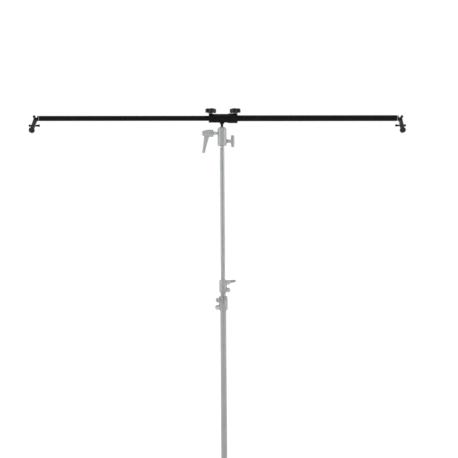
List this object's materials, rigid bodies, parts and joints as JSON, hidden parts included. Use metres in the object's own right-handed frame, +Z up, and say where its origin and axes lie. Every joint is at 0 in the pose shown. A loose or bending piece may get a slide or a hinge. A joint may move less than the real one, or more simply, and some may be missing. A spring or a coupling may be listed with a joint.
{
  "type": "c stand with crossbar",
  "caption": "Free-standing riser stand with a folding leg base, a locking ball head and a telescopic crossbar that ends in swivelling panel clamps.",
  "frame": {"origin": "on the column's axis at the floor, which is the middle of the bounding box's bottom to within 15 mm", "axes": "+Z up the column, +X along the crossbar towards its thicker tube, +Y to the back, where the clamp wings are"},
  "size_m": [2.2184, 0.8364, 2.3365],
  "materials": {
    "stand_grey": "satin painted die casting",
    "stand_tube": "satin coated steel tube",
    "stand_fitting": "satin painted",
    "plated_steel": "plated",
    "spring_steel": "drawn wire",
    "black_tube": "black anodised",
    "black_casting": "textured black powder coat",
    "black_steel": "black oxide",
    "black_plastic": "moulded, slightly glossy",
    "nylon": "plain",
    "clip_steel": "blue-grey satin",
    "rubber": "matt"
  },
  "bodies": {
    "base": {"base_ring": "stand_grey", "column_plug": "nylon", "base_column": "stand_tube", "leg_low": "stand_tube", "leg_collar_low": "stand_grey", "foot_cap_low": "rubber", "leg_spring": "spring_steel", "spring_collar": "stand_grey", "lower_clutch_casting": "stand_grey", "lower_clutch_bolt": "plated_steel"},
    "leg_mid_body": {"leg_mid": "stand_tube", "leg_collar_mid": "stand_grey", "foot_cap_mid": "rubber"},
    "leg_high_body": {"leg_high": "stand_tube", "leg_collar_high": "stand_grey", "foot_cap_high": "rubber"},
    "lower_handle_body": {"lower_clutch_t_handle": "stand_fitting"},
    "mid_riser_body": {"mid_riser": "stand_tube", "mid_riser_bush": "nylon", "upper_clutch_casting": "stand_grey", "upper_clutch_bolt": "plated_steel"},
    "upper_handle_body": {"upper_clutch_t_handle": "stand_fitting"},
    "top_riser_body": {"top_riser": "stand_tube", "top_riser_bush": "nylon", "top_spigot": "plated_steel"},
    "head_body": {"head_housing": "stand_grey", "ball_shoe": "nylon", "spacer_washer": "plated_steel"},
    "receiver_knob_body": {"receiver_t_knob": "stand_fitting"},
    "lever_screw_body": {"ratchet_screw": "plated_steel", "ratchet_spring": "spring_steel"},
    "lever_body": {"ratchet_lever": "stand_fitting"},
    "race_body": {"ball_race": "nylon"},
    "crossbar_body": {"ball_stud": "black_steel", "center_block": "black_casting", "outer_tube": "black_tube", "right_end_plug": "black_plastic", "right_end_ring": "plated_steel"},
    "left_knob_body": {"block_knob_left": "black_plastic"},
    "right_knob_body": {"block_knob_right": "black_plastic"},
    "inner_arm_body": {"inner_tube": "black_tube", "inner_tube_bush": "black_plastic", "left_end_plug": "black_plastic", "left_end_ring": "plated_steel"},
    "right_knuckle_body": {"right_clamp_knuckle": "black_casting"},
    "right_clip_body": {"right_front_jaw": "clip_steel", "right_front_pad": "rubber", "right_tilt_bolt": "black_steel", "right_jaw_spring": "spring_steel"},
    "right_jaw_body": {"right_rear_jaw": "clip_steel", "right_rear_pad": "rubber"},
    "right_wing_body": {"right_wing_screw": "black_plastic"},
    "left_knuckle_body": {"left_clamp_knuckle": "black_casting"},
    "left_clip_body": {"left_front_jaw": "clip_steel", "left_front_pad": "rubber", "left_tilt_bolt": "black_steel", "left_jaw_spring": "spring_steel"},
    "left_jaw_body": {"left_rear_jaw": "clip_steel", "left_rear_pad": "rubber"},
    "left_wing_body": {"left_wing_screw": "black_plastic"}
  },
  "joints": [
    {"name": "leg_mid_fold", "type": "hinge", "parent": "base", "child": "leg_mid_body", "pos_m": [0, 0, 0.18], "axis": [0, 0, 1], "range_deg": [-105, 0]},
    {"name": "leg_high_fold", "type": "hinge", "parent": "base", "child": "leg_high_body", "pos_m": [0, 0, 0.21], "axis": [0, 0, 1], "range_deg": [0, 105]},
    {"name": "lower_handle_turn", "type": "hinge", "parent": "base", "child": "lower_handle_body", "pos_m": [-0.0163, -0.0335, 1.219], "axis": [-1, 0, 0], "range_deg": [-180, 180]},
    {"name": "mid_riser_lift", "type": "slide", "parent": "base", "child": "mid_riser_body", "axis": [0, 0, 1], "range_m": [0, 0.85]},
    {"name": "upper_handle_turn", "type": "hinge", "parent": "mid_riser_body", "child": "upper_handle_body", "pos_m": [0.0295, 0.0163, 1.32], "axis": [0, 1, 0], "range_deg": [-180, 180]},
    {"name": "top_riser_lift", "type": "slide", "parent": "mid_riser_body", "child": "top_riser_body", "axis": [0, 0, 1], "range_m": [-0.7, 0.09]},
    {"name": "head_pan", "type": "hinge", "parent": "top_riser_body", "child": "head_body", "pos_m": [0, 0, 2.1455], "axis": [0, 0, 1], "continuous": true},
    {"name": "receiver_knob_turn", "type": "hinge", "parent": "head_body", "child": "receiver_knob_body", "pos_m": [0.0313, 0, 2.1455], "axis": [1, 0, 0], "range_deg": [-180, 180]},
    {"name": "lever_turn", "type": "hinge", "parent": "head_body", "child": "lever_screw_body", "pos_m": [-0.05, 0, 2.192], "axis": [-1, 0, 0], "range_deg": [-90, 90]},
    {"name": "lever_pull", "type": "slide", "parent": "lever_screw_body", "child": "lever_body", "axis": [-1, 0, 0], "range_m": [0, 0.006], "stiffness_N_per_m": 1500, "deforming": ["ratchet_spring"]},
    {"name": "ball_tilt_fore", "type": "hinge", "parent": "head_body", "child": "race_body", "pos_m": [0, 0, 2.215], "axis": [1, 0, 0], "range_deg": [-18, 18]},
    {"name": "ball_tilt_side", "type": "hinge", "parent": "race_body", "child": "crossbar_body", "pos_m": [0, 0, 2.215], "axis": [0, 1, 0], "range_deg": [-18, 18]},
    {"name": "left_knob_turn", "type": "hinge", "parent": "crossbar_body", "child": "left_knob_body", "pos_m": [-0.065, 0, 2.3115], "axis": [0, 0, 1], "range_deg": [-180, 180]},
    {"name": "right_knob_turn", "type": "hinge", "parent": "crossbar_body", "child": "right_knob_body", "pos_m": [0.078, 0, 2.3115], "axis": [0, 0, 1], "range_deg": [-180, 180]},
    {"name": "arm_slide", "type": "slide", "parent": "crossbar_body", "child": "inner_arm_body", "axis": [1, 0, 0], "range_m": [0, 0.9]},
    {"name": "right_clamp_swivel", "type": "hinge", "parent": "crossbar_body", "child": "right_knuckle_body", "pos_m": [1.032, 0, 2.28], "axis": [1, 0, 0], "continuous": true},
    {"name": "right_clamp_tilt", "type": "hinge", "parent": "right_knuckle_body", "child": "right_clip_body", "pos_m": [1.054, 0, 2.275], "axis": [0, 1, 0], "range_deg": [-37, 11]},
    {"name": "right_jaw_close", "type": "hinge", "parent": "right_clip_body", "child": "right_jaw_body", "pos_m": [1.05974, 0.0094, 2.25015], "axis": [-0.9744, 0, -0.225], "range_deg": [0, 5.5], "stiffness_Nm_per_rad": 1},
    {"name": "right_wing_turn", "type": "hinge", "parent": "right_clip_body", "child": "right_wing_body", "pos_m": [1.0621, 0.0137, 2.23992], "axis": [0, 1, 0], "range_deg": [-180, 180]},
    {"name": "left_clamp_swivel", "type": "hinge", "parent": "inner_arm_body", "child": "left_knuckle_body", "pos_m": [-1.058, 0, 2.28], "axis": [1, 0, 0], "continuous": true},
    {"name": "left_clamp_tilt", "type": "hinge", "parent": "left_knuckle_body", "child": "left_clip_body", "pos_m": [-1.08, 0, 2.275], "axis": [0, 1, 0], "range_deg": [-18, 30]},
    {"name": "left_jaw_close", "type": "hinge", "parent": "left_clip_body", "child": "left_jaw_body", "pos_m": [-1.08872, 0.0094, 2.25104], "axis": [-0.9397, 0, 0.342], "range_deg": [0, 5.5], "stiffness_Nm_per_rad": 1},
    {"name": "left_wing_turn", "type": "hinge", "parent": "left_clip_body", "child": "left_wing_body", "pos_m": [-1.09231, 0.0137, 2.24117], "axis": [0, 1, 0], "range_deg": [-180, 180]}
  ]
}
